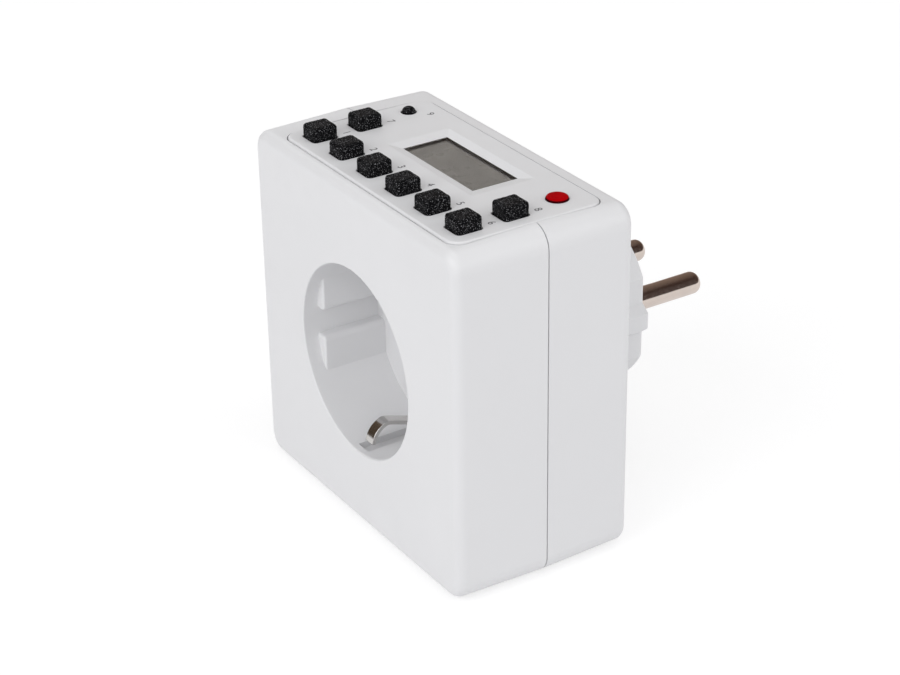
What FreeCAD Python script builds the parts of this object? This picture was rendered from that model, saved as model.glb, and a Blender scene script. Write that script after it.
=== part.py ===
# Plug-in weekly timer with an earthed socket in front, a plug behind and a control panel on top.
# X runs to the right seen from the socket, Y from the socket to the plug, Z up to the control panel.
# Every sub-part is drawn with Y counted from the front face and Z from the socket's axis, and is then
# placed so that the origin lies on that axis in the plug's end face, between the roots of the pins.
import FreeCAD
import Part
import Sketcher
import math
import os
import re

doc = FreeCAD.newDocument("PlugInTimer")
sheet = doc.addObject("Spreadsheet::Sheet", "Sizes")
nodes = []
# Two places nearer than this, in millimetres, are the same
NEAR = 0.01

# Driving dimensions in millimetres
sizes = {
    # Housing: two shells that part in a plane, each drawn in towards its own end
    "HousingWidth": 75.0,
    "HousingDepth": 40.0,
    "AxisToTop": 37.6,
    "AxisToBottom": 37.0,
    "FrontDepth": 20.2,
    "FrontInset": 0.46,
    "RearInset": 0.42,
    "CornerRadius": 4.5,
    "EdgeRadius": 2.0,
    "WallThickness": 2.0,
    "FrontWall": 2.15,
    "RearWall": 2.0,
    "CavityCorner": 1.6,
    "JointGap": 0.25,
    "TongueThickness": 0.9,
    "TongueLength": 1.6,
    "FitGap": 0.1,
    # Recess of the socket
    "SocketRadius": 19.95,
    "RimRadius": 0.3,
    "SocketDepth": 17.5,
    "WellWall": 1.7,
    "WellFloor": 1.8,
    "PinHoleRadius": 2.6,
    "RibStep": 2.95,
    "RibGap": 5.8,
    "RibFront": 3.2,
    "RibEdge": 1.2,
    "RibFrontEdge": 0.5,
    "EarthSlotWidth": 3.8,
    "EarthSlotDepth": 1.3,
    "EarthSlotFront": 1.5,
    "EarthSlotWall": 1.5,
    # Plug
    "PlugLength": 18.7,
    "PlugRadius": 18.7,
    "PlugFlat": 16.5,
    "PlugHollow": 15.0,
    "SpigotRadius": 18.0,
    "PlugEndWall": 2.5,
    "PlugEdge": 1.2,
    "CollarLength": 2.2,
    "RidgeReach": 18.5,
    "RidgeRoot": 6.6,
    "RidgeTop": 3.5,
    "PinSpacing": 19.0,
    "PinRadius": 2.4,
    "PinLength": 19.0,
    "PinEnd": 1.9,
    "PinShoulder": 0.2,
    "PinSeatGap": 0.3,
    "PinSeatDepth": 0.4,
    "ShankRadius": 2.2,
    "PinFlangeRadius": 3.6,
    "PinFlangeThickness": 1.5,
    "PinTailRadius": 1.5,
    "PinTailLength": 2.0,
    "PinFit": 0.05,
    # Control panel
    "PanelCentre": 1.95,
    "PanelSideMargin": 6.3,
    "PanelRearMargin": 4.0,
    "PanelCorner": 3.0,
    "PanelGap": 0.25,
    "PanelEdge": 0.5,
    "FlangeThickness": 1.0,
    "FlangeOverlap": 0.75,
    "PostHeight": 6.7,
    "PostRadius": 1.5,
    "PostPilot": 0.85,
    "PostMargin": 1.9,
    "PostLine": 13.15,
    "RearPostMargin": 9.2,
    "RearPostInset": 1.4,
    # Keys and their switches
    "KeyWidth": 4.9,
    "KeyDepth": 5.4,
    "KeyRise": 2.85,
    "KeyCorner": 0.7,
    "KeyMargin": 5.325,
    "KeyLine": 8.0,
    "SecondKeyLine": 18.3,
    "KeyGap": 0.25,
    "KeyFlange": 0.5,
    "KeyFlangeThickness": 0.8,
    "StopGap": 0.1,
    "StemRadius": 1.2,
    "KeyTravel": 0.5,
    "SwitchWidth": 6.0,
    "SwitchHeight": 3.5,
    "PlungerRadius": 1.75,
    "PlungerRise": 0.9,
    "PlungerDepth": 1.2,
    "RunningFit": 0.08,
    # Reset button and lamp, placed from the middle of the panel
    "ResetMargin": 4.35,
    "ResetInset": 6.8,
    "ResetRadius": 1.4,
    "ResetRise": 1.15,
    "ResetRounding": 1.1,
    "ResetFlangeRadius": 2.3,
    "LampMargin": 6.1,
    "LampInset": 6.7,
    "LampRadius": 2.2,
    "LampRise": 0.75,
    "LampRounding": 0.5,
    "LampFlangeRadius": 2.6,
    "LampFlangeThickness": 1.0,
    "LampLegLength": 1.8,
    "LampLegWidth": 0.5,
    "LampLegSpacing": 2.54,
    # Display
    "DisplayInset": 12.0,
    "WindowWidth": 24.7,
    "WindowDepth": 10.2,
    "WindowRecess": 0.5,
    "BevelSide": 2.7,
    "BevelEnd": 2.1,
    "LensLip": 1.0,
    "LensThickness": 0.8,
    "DisplayThickness": 2.6,
    "DisplayWall": 1.2,
    "DisplayLedge": 1.0,
    "StripWidth": 22.0,
    "StripThickness": 2.0,
    # Boards
    "BoardThickness": 1.6,
    "BoardSideOverlap": 0.3,
    "BoardFrontGap": 0.8,
    "ScrewHoleGap": 0.2,
    "BoardScrewRadius": 0.8,
    "BoardScrewLength": 5.6,
    "BoardScrewHeadRadius": 1.6,
    "BoardScrewHeadHeight": 1.1,
    "PowerBoardMargin": 8.5,
    "PowerBoardFront": 5.0,
    "PowerBoardBackGap": 2.0,
    "PowerBoardStand": 2.0,
    "PowerScrewLength": 4.0,
    "StandRadius": 2.5,
    "StandMargin": 4.0,
    "StandLine": 9.0,
    "RearStandInset": 3.0,
    "InnerStandSide": 4.0,
    # Contacts behind the recess
    "ShutterRadius": 13.9,
    "ShutterThickness": 1.8,
    "ShutterGap": 0.2,
    "ShutterSwing": 36.0,
    "ShutterHole": 2.9,
    "PivotRadius": 1.6,
    "CarrierWidth": 34.0,
    "CarrierHeight": 28.0,
    "CarrierThickness": 2.0,
    "LegRadius": 2.0,
    "SleeveLength": 8.0,
    "SleeveWall": 1.0,
    "ContactBore": 2.45,
    "ContactWall": 0.65,
    "ContactBackGap": 2.2,
    "ContactSlit": 1.2,
    "TailWidth": 3.0,
    "TailThickness": 0.8,
    "TailInset": 2.5,
    "SpringRadius": 2.6,
    "SpringWire": 0.2,
    "SpringPitch": 0.5,
    "SpringTurns": 2.0,
    "SpringRecess": 1.5,
    "SpringRoom": 0.6,
    # Earth strap, its two clips in the recess and the two contacts on the plug
    "StrapWidth": 2.6,
    "StrapThickness": 0.9,
    "StrapDrop": 2.35,
    "ClipFootLine": 14.4,
    "ClipBendLine": 7.2,
    "ClipTopLine": 5.9,
    "ClipTopDrop": 4.6,
    "ClipRiseLine": 4.3,
    "ClipRiseDrop": 3.2,
    "ClipCurlLine": 3.4,
    "ClipCurlDrop": 1.95,
    "ClipTipLine": 3.25,
    "ClipTipDrop": 0.75,
    "EarthWidth": 4.6,
    "EarthReach": 17.1,
    "EarthBow": 0.8,
    "EarthLead": 0.6,
    "EarthRamp": 3.4,
    "EarthEnd": 1.9,
    "EarthGap": 0.15,
    # Busbars from the pins to the power board
    "BarWidth": 4.0,
    "BarThickness": 0.8,
    "BarRise": 4.0,
    "BarDrop": 8.0,
    "BarBackGap": 0.4,
    # Screws that hold the shells together
    "BossMargin": 6.5,
    "UpperBoss": 14.0,
    "LowerBoss": 10.0,
    "BossRadius": 3.2,
    "BossPilot": 1.5,
    "ScrewRadius": 1.45,
    "ScrewLength": 14.0,
    "ScrewHeadRadius": 2.6,
    "ScrewHeadHeight": 2.0,
    "ScrewSeat": 3.8,
    "ScrewHeadGap": 0.3,
    "ScrewPostWall": 0.5,
    "ScrewDriveWidth": 0.6,
    "ScrewDriveReach": 1.5,
    "ScrewDriveDepth": 1.2,
    # What stands on the power board
    "RelayMargin": 0.5,
    "RelayBackGap": 0.4,
    "RelayTop": 17.4,
    "RelaySide": 13.0,
    "RelayFrontGap": 0.2,
    "FilmMargin": 3.25,
    "FilmDepth": 8.0,
    "FilmTop": 19.4,
    "FilmSide": 4.0,
    "FilmFront": 20.0,
    "CanRadius": 4.0,
    "CanTop": 21.4,
    "CanInset": 7.0,
    "CanLine": 10.0,
    "VaristorRadius": 3.0,
    "VaristorThickness": 3.0,
    "VaristorFront": 11.0,
    "DiodeRadius": 1.2,
    "DiodeLength": 4.5,
    "DiodePitch": 3.2,
    "DiodeLine": 8.0,
    "ResistorRadius": 1.6,
    "ResistorLength": 8.0,
    "ResistorFront": 7.0,
    "FuseRadius": 1.4,
    "FuseLength": 7.0,
    "FuseSide": 5.5,
    "FuseFront": 19.5,
    # What hangs under the display board, and the flat cable between the boards
    "ChipWidth": 10.0,
    "ChipHeight": 1.4,
    "ChipMargin": 20.2,
    "ChipInset": 8.0,
    "CrystalRadius": 1.4,
    "CrystalLength": 7.0,
    "CrystalMargin": 13.2,
    "CrystalInset": 8.0,
    "BatteryRadius": 7.75,
    "BatteryHeight": 4.6,
    "BatteryMargin": 16.2,
    "BatteryInset": 10.0,
    "CableMargin": 2.5,
    "CableWidth": 8.0,
    "CableThickness": 0.8,
    "CableInset": 10.0,
    "HeaderWall": 0.5,
    "HeaderWidth": 2.5,
    "HeaderHeight": 3.0,
}

# Places worked out from the sizes, counted from the front face or from the socket's axis
PANEL_SIDE = "(HousingWidth / 2 - PanelSideMargin)"
PANEL_UNDER = "(AxisToTop - WallThickness - FlangeThickness)"
PANEL_FRONT = "(FrontWall + PanelGap)"
PANEL_BACK = "(HousingDepth - PanelRearMargin)"
KEY_FLANGE_TOP = "(%s - StopGap)" % PANEL_UNDER
KEY_FLANGE_UNDER = "(%s - KeyFlangeThickness)" % KEY_FLANGE_TOP
BOARD_TOP = "(%s - PostHeight)" % PANEL_UNDER
BOARD_UNDER = "(%s - BoardThickness)" % BOARD_TOP
SWITCH_TOP = "(%s + SwitchHeight)" % BOARD_TOP
PLUNGER_TOP = "(%s + PlungerRise)" % SWITCH_TOP
LENS_TOP = "(AxisToTop - WindowRecess)"
DISPLAY_LINE = "(%s - DisplayInset)" % PANEL_BACK
DISPLAY_TOP = "(%s - LensThickness - FitGap)" % LENS_TOP
DISPLAY_UNDER = "(%s - DisplayThickness)" % DISPLAY_TOP
FLOOR_BACK = "(SocketDepth + WellFloor)"
CARRIER_FRONT = "(%s + 2 * ShutterGap + ShutterThickness)" % FLOOR_BACK
CARRIER_BACK = "(%s + CarrierThickness)" % CARRIER_FRONT
PLUG_END = "(HousingDepth + PlugLength)"
CAVITY_BACK = "(HousingDepth - RearWall)"
CAVITY_FLOOR = "(AxisToBottom - WallThickness)"
POWER_TOP = "(%s - PowerBoardStand - BoardThickness)" % CAVITY_FLOOR
POWER_SIDE = "(HousingWidth / 2 - PowerBoardMargin)"
POWER_BACK = "(%s - PowerBoardBackGap)" % CAVITY_BACK
STAND_SIDE = "(%s - StandMargin)" % POWER_SIDE
REAR_STAND_LINE = "(%s - RearStandInset)" % POWER_BACK
CABLE_SIDE = "(%s - CableMargin)" % POWER_SIDE
CABLE_LINE = "(%s - CableInset)" % POWER_BACK
CAN_SIDE = "(%s - CanInset)" % STAND_SIDE
BOSS_SIDE = "(HousingWidth / 2 - BossMargin)"
RIB_FLAT = "(SocketRadius - RibStep)"
STRAP_REACH = "(SocketRadius - StrapDrop)"
PIN_SIDE = "(PinSpacing / 2)"
BAR_BACK = "(%s - BarBackGap - BarThickness / 2)" % CAVITY_BACK
CONTACT_OUTER = "(ContactBore + ContactWall)"
CONTACT_LENGTH = "(%s - ContactBackGap - %s)" % (BAR_BACK, CARRIER_BACK)


def fill_sheet():
    for row, (alias, number) in enumerate(sizes.items(), start=1):
        cell = "B%d" % row
        sheet.set("A%d" % row, alias)
        sheet.set(cell, repr(number))
        sheet.setAlias(cell, alias)
    doc.recompute()


def sized(words):
    # Every word with a capital is a size in the sheet
    return re.sub(r"\b[A-Z]\w*", lambda found: "Sizes." + found.group(), words)


def value(words):
    return float(sheet.evalExpression(sized(words)))


def node(thing, label):
    thing.Label = label
    thing.setExpression("Placement.Base.y", sized("-" + PLUG_END))
    nodes.append(thing)
    return thing


# Sketches, padded and cut in a body


def new_body(label):
    return node(doc.addObject("PartDesign::Body", label), label)


def sketch(body, role, lift):
    origin_plane = next(part for part in body.Origin.OriginFeatures if part.Role == role)
    drawing = body.newObject("Sketcher::SketchObject", body.Name + "_sketch")
    drawing.AttachmentSupport = [(origin_plane, "")]
    drawing.MapMode = "FlatFace"
    drawing.setExpression("AttachmentOffset.Base.z", sized(lift))
    return drawing


def facing_front(body, y):
    # Drawn in X and Z; it looks along -Y
    return sketch(body, "XZ_Plane", "-(%s)" % y)


def facing_up(body, z):
    # Drawn in X and Y; it looks along +Z
    return sketch(body, "XY_Plane", z)


def facing_right(body, x):
    # Drawn in Y and Z; it looks along +X
    return sketch(body, "YZ_Plane", x)


def hold(drawing, kind, number, *where):
    # A dimension whose value is an expression of the sheet
    index = drawing.addConstraint(Sketcher.Constraint(kind, *where, value(number)))
    drawing.setExpression("Constraints[%d]" % index, sized(number))


def line(drawing, start, end):
    first = FreeCAD.Vector(start[0], start[1], 0)
    return drawing.addGeometry(Part.LineSegment(first, FreeCAD.Vector(end[0], end[1], 0)))


def polygon(drawing, points, closed=True):
    spots = [(value(x), value(y)) for x, y in points]
    count = len(points) if closed else len(points) - 1
    lines = [line(drawing, spots[n], spots[(n + 1) % len(spots)]) for n in range(count)]
    for n in range(count if closed else count - 1):
        following = lines[(n + 1) % count]
        drawing.addConstraint(Sketcher.Constraint("Coincident", lines[n], 2, following, 1))
    for n, (x, y) in enumerate(points):
        end = (lines[n], 1) if n < count else (lines[-1], 2)
        hold(drawing, "DistanceX", x, *end)
        hold(drawing, "DistanceY", y, *end)


def rectangle(drawing, left, low, right, high):
    polygon(drawing, [(left, low), (right, low), (right, high), (left, high)])


def circle(drawing, radius, x="0", y="0"):
    centre = FreeCAD.Vector(value(x), value(y), 0)
    ring = drawing.addGeometry(Part.Circle(centre, FreeCAD.Vector(0, 0, 1), value(radius)))
    hold(drawing, "Radius", radius, ring)
    hold(drawing, "DistanceX", x, ring, 3)
    hold(drawing, "DistanceY", y, ring, 3)


def rounded(drawing, left, low, right, high, radius):
    # A rectangle with rounded corners
    x0, y0, x1, y1, r = (value(words) for words in (left, low, right, high, radius))
    ends = [((x0 + r, y0), (x1 - r, y0)), ((x1, y0 + r), (x1, y1 - r)),
            ((x1 - r, y1), (x0 + r, y1)), ((x0, y1 - r), (x0, y0 + r))]
    lines = [line(drawing, start, end) for start, end in ends]
    centres = [(x1 - r, y0 + r), (x1 - r, y1 - r), (x0 + r, y1 - r), (x0 + r, y0 + r)]
    quarter = math.pi / 2
    arcs = []
    for n, (x, y) in enumerate(centres):
        ring = Part.Circle(FreeCAD.Vector(x, y, 0), FreeCAD.Vector(0, 0, 1), r)
        arc = Part.ArcOfCircle(ring, (n - 1) * quarter, n * quarter)
        arcs.append(drawing.addGeometry(arc))
    for n in range(4):
        drawing.addConstraint(Sketcher.Constraint("Tangent", lines[n], 2, arcs[n], 1))
        drawing.addConstraint(Sketcher.Constraint("Tangent", arcs[n], 2, lines[(n + 1) % 4], 1))
        kind = "Vertical" if n % 2 else "Horizontal"
        drawing.addConstraint(Sketcher.Constraint(kind, lines[n]))
    for arc in arcs[1:]:
        drawing.addConstraint(Sketcher.Constraint("Equal", arcs[0], arc))
    hold(drawing, "Radius", radius, arcs[0])
    hold(drawing, "DistanceY", low, lines[0], 1)
    hold(drawing, "DistanceX", right, lines[1], 1)
    hold(drawing, "DistanceY", high, lines[2], 1)
    hold(drawing, "DistanceX", left, lines[3], 1)


def pad(drawing, length, against=False, taper=None):
    # Against the way the sketch looks, if asked
    body = drawing.getParentGeoFeatureGroup()
    feature = body.newObject("PartDesign::Pad", body.Name + "_pad")
    feature.Profile = drawing
    feature.setExpression("Length", sized(length))
    feature.Reversed = against
    if taper:
        feature.setExpression("TaperAngle", sized(taper))


def pocket(drawing, length, along=False):
    # Against the way the sketch looks, unless asked to go along it
    body = drawing.getParentGeoFeatureGroup()
    doc.recompute()
    before = body.Shape.Volume
    feature = body.newObject("PartDesign::Pocket", body.Name + "_pocket")
    feature.Profile = drawing
    feature.setExpression("Length", sized(length))
    feature.Reversed = along
    doc.recompute()
    if not body.Shape.Volume < before:
        raise RuntimeError("a pocket cuts nothing in " + body.Label)


def fillet(body, radius, pick):
    doc.recompute()
    base = body.Tip
    names = ["Edge%d" % n for n, edge in enumerate(base.Shape.Edges, start=1) if pick(edge)]
    if not names:
        raise RuntimeError("no edge to round in " + body.Label)
    feature = body.newObject("PartDesign::Fillet", body.Name + "_fillet")
    feature.Base = (base, names)
    feature.setExpression("Radius", sized(radius))


def edges_at(axis, place):
    # Picks the edges that lie in one plane square to an axis
    def pick(edge):
        box = edge.BoundBox
        low, high = getattr(box, axis + "Min"), getattr(box, axis + "Max")
        return abs(low - value(place)) < NEAR and abs(high - value(place)) < NEAR
    return pick


def strip(body, x, points, wide, thick):
    # A flat strip bent along points in Y and Z; its first run is upright or level
    path = facing_right(body, x)
    polygon(path, points, closed=False)
    (y, z), (next_y, _) = points[:2]
    upright = abs(value(y) - value(next_y)) < NEAR
    section = facing_up(body, z) if upright else facing_front(body, y)
    middle = y if upright else z
    rectangle(section, "%s - %s / 2" % (x, wide), "%s - %s / 2" % (middle, thick),
              "%s + %s / 2" % (x, wide), "%s + %s / 2" % (middle, thick))
    feature = body.newObject("PartDesign::AdditivePipe", body.Name + "_pipe")
    feature.Profile = section
    feature.Spine = (path, ["Edge%d" % n for n in range(1, len(points))])
    feature.Transition = "Right corner"


# Primitives, cut and joined


def placed(thing, x, y, z):
    for axis, words in zip("xyz", (x, y, z)):
        thing.setExpression("Placement.Base." + axis, sized(words))
    return thing


def block(x, y, z, wide, deep, tall):
    thing = doc.addObject("Part::Box", "block")
    thing.setExpression("Length", sized(wide))
    thing.setExpression("Width", sized(deep))
    thing.setExpression("Height", sized(tall))
    return placed(thing, x, y, z)


turns = {
    "right": FreeCAD.Rotation(FreeCAD.Vector(0, 1, 0), 90),
    "back": FreeCAD.Rotation(FreeCAD.Vector(1, 0, 0), -90),
    "up": FreeCAD.Rotation(),
}


def rod(direction, x, y, z, radius, length):
    thing = doc.addObject("Part::Cylinder", "rod")
    thing.setExpression("Radius", sized(radius))
    thing.setExpression("Height", sized(length))
    thing.Placement = FreeCAD.Placement(FreeCAD.Vector(), turns[direction])
    return placed(thing, x, y, z)


def join(*parts):
    thing = doc.addObject("Part::MultiFuse", "join")
    thing.Shapes = list(parts)
    thing.Refine = True
    return thing


def cut(base, *tools):
    thing = doc.addObject("Part::Cut", "cut")
    thing.Base = base
    thing.Tool = tools[0] if len(tools) == 1 else join(*tools)
    return thing


def group(*parts):
    thing = doc.addObject("Part::Compound", "group")
    thing.Links = list(parts)
    return thing


# Housing


def shell_outline(drawing, inset, radius):
    side = "HousingWidth / 2 - %s" % inset
    rounded(drawing, "-(%s)" % side, "-(AxisToBottom - %s)" % inset, side, "AxisToTop - %s" % inset, radius)


def panel_opening(body):
    above = facing_up(body, "AxisToTop + EdgeRadius")
    half = "(%s + PanelGap)" % PANEL_SIDE
    rounded(above, "PanelCentre - " + half, "FrontWall", "PanelCentre + " + half, PANEL_BACK + " + PanelGap",
            "PanelCorner + PanelGap")
    pocket(above, "EdgeRadius + WallThickness + FitGap")


boss_places = [("-" + BOSS_SIDE, "UpperBoss"), (BOSS_SIDE, "UpperBoss"),
               ("-" + BOSS_SIDE, "-LowerBoss"), (BOSS_SIDE, "-LowerBoss")]
front_stands = [("-" + STAND_SIDE, "StandLine"), (STAND_SIDE, "StandLine")]
rear_stands = [("-" + STAND_SIDE, REAR_STAND_LINE), ("InnerStandSide", REAR_STAND_LINE)]


def board_stands(body, places):
    # Short bosses on the floor of the housing that carry the power board
    posts = facing_up(body, "-%s - WallThickness / 2" % CAVITY_FLOOR)
    for x, y in places:
        circle(posts, "StandRadius", x, y)
    pad(posts, "PowerBoardStand + WallThickness / 2")
    holes = facing_up(body, "-%s + PowerBoardStand" % CAVITY_FLOOR)
    for x, y in places:
        circle(holes, "PostPilot", x, y)
    pocket(holes, "PowerScrewLength - BoardThickness + FitGap")


def make_front_shell():
    body = new_body("front_shell")
    rim = "(FrontDepth - JointGap / 2)"
    outline = facing_front(body, rim)
    shell_outline(outline, "0", "CornerRadius")
    pad(outline, rim, taper="-atan(FrontInset / FrontDepth)")
    fillet(body, "EdgeRadius", edges_at("Y", "0"))
    cavity = facing_front(body, rim)
    shell_outline(cavity, "WallThickness", "CavityCorner")
    pocket(cavity, rim + " - FrontWall", along=True)
    rebate = facing_front(body, rim)
    inset = "(WallThickness - TongueThickness - FitGap)"
    shell_outline(rebate, inset, "CornerRadius - " + inset)
    pocket(rebate, "TongueLength - JointGap / 2", along=True)
    add_well(body)
    bosses = facing_front(body, "FrontWall / 2")
    for x, z in boss_places:
        circle(bosses, "BossRadius", x, z)
    pad(bosses, "FrontDepth - FrontWall / 2", against=True)
    board_stands(body, front_stands)
    panel_opening(body)
    pilots = facing_front(body, "FrontDepth")
    for x, z in boss_places:
        circle(pilots, "BossPilot", x, z)
    pocket(pilots, "ScrewLength - ScrewSeat + 2 * FitGap", along=True)


def add_well(body):
    well = facing_front(body, "FrontWall / 2")
    circle(well, "SocketRadius + WellWall")
    pad(well, FLOOR_BACK + " - FrontWall / 2", against=True)
    side = "(EarthSlotWidth / 2 + EarthSlotWall)"
    reach = "(SocketRadius + EarthSlotDepth)"
    for sign in ("", "-"):
        boss = facing_front(body, "FrontWall / 2")
        near, far = sign + "SocketRadius", "%s(%s + EarthSlotWall)" % (sign, reach)
        rectangle(boss, "-" + side, near, side, far)
        pad(boss, FLOOR_BACK + " - FrontWall / 2", against=True)
    recess = facing_front(body, "0")
    circle(recess, "SocketRadius")
    pocket(recess, "SocketDepth")
    fillet(body, "RimRadius", rim_edge)
    for sign in ("", "-"):
        slot = facing_front(body, "EarthSlotFront")
        half = "EarthSlotWidth / 2"
        rectangle(slot, "-" + half, "%s(SocketRadius - EarthSlotWall)" % sign, half, sign + reach)
        pocket(slot, "SocketDepth - EarthSlotFront")
        passage = facing_front(body, "SocketDepth")
        half = "(StrapWidth / 2 + EarthGap)"
        near = "%s(%s - StrapThickness / 2 - EarthGap)" % (sign, STRAP_REACH)
        far = "%s(%s + StrapThickness / 2 + EarthGap)" % (sign, STRAP_REACH)
        rectangle(passage, "-" + half, near, half, far)
        pocket(passage, "WellFloor")
    holes = facing_front(body, "SocketDepth")
    circle(holes, "PinHoleRadius", PIN_SIDE)
    circle(holes, "PinHoleRadius", "-" + PIN_SIDE)
    pocket(holes, "WellFloor")
    for across in ("", "-"):
        for up in ("", "-"):
            add_guide_rib(body, across, up)
    fillet(body, "RibEdge", rib_edges)
    fillet(body, "RibFrontEdge", rib_front_edges)


def rim_edge(edge):
    # The round mouth of the recess
    return edges_at("Y", "0")(edge) and edge.BoundBox.XMax < value("SocketRadius + WellWall")


def rib_edges(edge):
    # The long inner edges of the ribs beside the gap
    box = edge.BoundBox
    on_flat = all(abs(abs(x) - value(RIB_FLAT)) < NEAR for x in (box.XMin, box.XMax))
    by_gap = max(abs(box.ZMin), abs(box.ZMax)) < value("RibGap / 2") + NEAR
    return on_flat and by_gap and box.YLength > value("RibFront")


def rib_front_edges(edge):
    # The outline of each rib's front end, apart from its line on the round wall
    middle = edge.valueAt((edge.FirstParameter + edge.LastParameter) / 2)
    off_wall = middle.x ** 2 + middle.z ** 2 < value("SocketRadius") ** 2 - NEAR
    return edges_at("Y", "RibFront")(edge) and off_wall


def add_guide_rib(body, across, up):
    # A flat rib that fills the round wall's side
    middle = "(SocketRadius + WellWall / 2)"
    low = "%sRibGap / 2" % up
    top = "%ssqrt(%s ^ 2 - %s ^ 2)" % (up, middle, RIB_FLAT)
    far = "%ssqrt(%s ^ 2 - (RibGap / 2) ^ 2)" % (across, middle)
    rib = facing_front(body, "RibFront")
    polygon(rib, [(across + RIB_FLAT, low), (far, low), (across + RIB_FLAT, top)])
    pad(rib, "SocketDepth + WellFloor / 2 - RibFront", against=True)


def make_rear_shell():
    body = new_body("rear_shell")
    rim = "(FrontDepth + JointGap / 2)"
    outline = facing_front(body, rim)
    shell_outline(outline, "0", "CornerRadius")
    draft = "-atan(RearInset / (HousingDepth - FrontDepth))"
    pad(outline, "HousingDepth - " + rim, against=True, taper=draft)
    fillet(body, "EdgeRadius", edges_at("Y", "HousingDepth"))
    cavity = facing_front(body, rim)
    shell_outline(cavity, "WallThickness", "CavityCorner")
    pocket(cavity, CAVITY_BACK + " - " + rim)
    tongue = facing_front(body, rim)
    inset = "(WallThickness - TongueThickness)"
    shell_outline(tongue, inset, "CornerRadius - " + inset)
    shell_outline(tongue, "WallThickness", "CavityCorner")
    pad(tongue, "TongueLength + JointGap / 2")
    mouth = facing_front(body, "HousingDepth")
    circle(mouth, "SpigotRadius + FitGap")
    pocket(mouth, "RearWall", along=True)
    posts = facing_front(body, "HousingDepth - RearWall / 2")
    for x, z in boss_places:
        circle(posts, "ScrewHeadRadius + ScrewHeadGap + ScrewPostWall", x, z)
    pad(posts, "HousingDepth - RearWall / 2 - FrontDepth")
    board_stands(body, rear_stands)
    panel_opening(body)
    seats = facing_front(body, "HousingDepth")
    for x, z in boss_places:
        circle(seats, "ScrewHeadRadius + ScrewHeadGap", x, z)
    pocket(seats, "HousingDepth - FrontDepth - ScrewSeat", along=True)
    holes = facing_front(body, "FrontDepth + ScrewSeat")
    for x, z in boss_places:
        circle(holes, "ScrewRadius + ScrewHoleGap", x, z)
    pocket(holes, "ScrewSeat", along=True)


def make_plug_body():
    # The plug's barrel stands on the back of the rear shell, with a spigot in its round mouth
    body = new_body("plug_body")
    spigot = facing_front(body, CAVITY_BACK)
    circle(spigot, "SpigotRadius")
    pad(spigot, "RearWall", against=True)
    barrel = facing_front(body, "HousingDepth")
    circle(barrel, "PlugRadius")
    pad(barrel, "PlugLength", against=True)
    for across in ("", "-"):
        flat = facing_front(body, "HousingDepth + CollarLength")
        rectangle(flat, across + "PlugFlat", "-PlugRadius", across + "(PlugRadius + PlugEdge)", "PlugRadius")
        pocket(flat, "PlugLength - CollarLength")
    for across in ("", "-"):
        ridge = facing_front(body, "HousingDepth")
        inner = across + "(PlugFlat - PlugEdge)"
        polygon(ridge, [(inner, "-RidgeRoot / 2"), (across + "PlugFlat", "-RidgeRoot / 2"),
                        (across + "RidgeReach", "-RidgeTop / 2"), (across + "RidgeReach", "RidgeTop / 2"),
                        (across + "PlugFlat", "RidgeRoot / 2"), (inner, "RidgeRoot / 2")])
        pad(ridge, "PlugLength", against=True)
    fillet(body, "PlugEdge", edges_at("Y", PLUG_END))
    hollow = facing_front(body, CAVITY_BACK)
    circle(hollow, "PlugHollow")
    pocket(hollow, "RearWall + PlugLength - PlugEndWall")
    pins = facing_front(body, PLUG_END)
    circle(pins, "ShankRadius + PinFit", PIN_SIDE)
    circle(pins, "ShankRadius + PinFit", "-" + PIN_SIDE)
    pocket(pins, "PlugEndWall", along=True)
    seats = facing_front(body, PLUG_END)
    circle(seats, "PinRadius + PinSeatGap", PIN_SIDE)
    circle(seats, "PinRadius + PinSeatGap", "-" + PIN_SIDE)
    pocket(seats, "PinSeatDepth", along=True)
    half = "(EarthWidth / 2 + EarthGap)"
    low = "(EarthReach - StrapThickness / 2 - EarthGap)"
    for up in ("", "-"):
        groove = facing_front(body, "HousingDepth + CollarLength")
        rectangle(groove, "-" + half, up + low, half, up + "(PlugRadius + PlugEdge)")
        pocket(groove, "PlugLength - CollarLength - PlugEdge")
        notch = facing_front(body, CAVITY_BACK)
        rectangle(notch, "-" + half, up + low, half, up + "PlugRadius")
        pocket(notch, "RearWall")
        passage = facing_front(body, "HousingDepth")
        high = "(EarthReach + StrapThickness / 2 + EarthGap)"
        rectangle(passage, "-" + half, up + low, half, up + high)
        pocket(passage, "CollarLength")


def make_housing_screws():
    screws = []
    seat = "(FrontDepth + ScrewSeat)"
    for x, z in boss_places:
        shank = rod("back", x, seat + " - ScrewLength", z, "ScrewRadius", "ScrewLength")
        head = rod("back", x, seat, z, "ScrewHeadRadius", "ScrewHeadHeight")
        top = seat + " + ScrewHeadHeight - ScrewDriveDepth"
        wing = "ScrewDriveReach"
        level = block("%s - %s" % (x, wing), top, z + " - ScrewDriveWidth / 2", "2 * " + wing,
                      "ScrewDriveDepth", "ScrewDriveWidth")
        upright = block(x + " - ScrewDriveWidth / 2", top, "%s - %s" % (z, wing), "ScrewDriveWidth",
                        "ScrewDriveDepth", "2 * " + wing)
        screws.append(cut(join(shank, head), level, upright))
    node(group(*screws), "housing_screws")


# Control panel



def on_panel(side, margin, line):
    # A place so far from the panel's left or right edge
    return "PanelCentre %s (%s - %s)" % (side, PANEL_SIDE, margin), line


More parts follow.
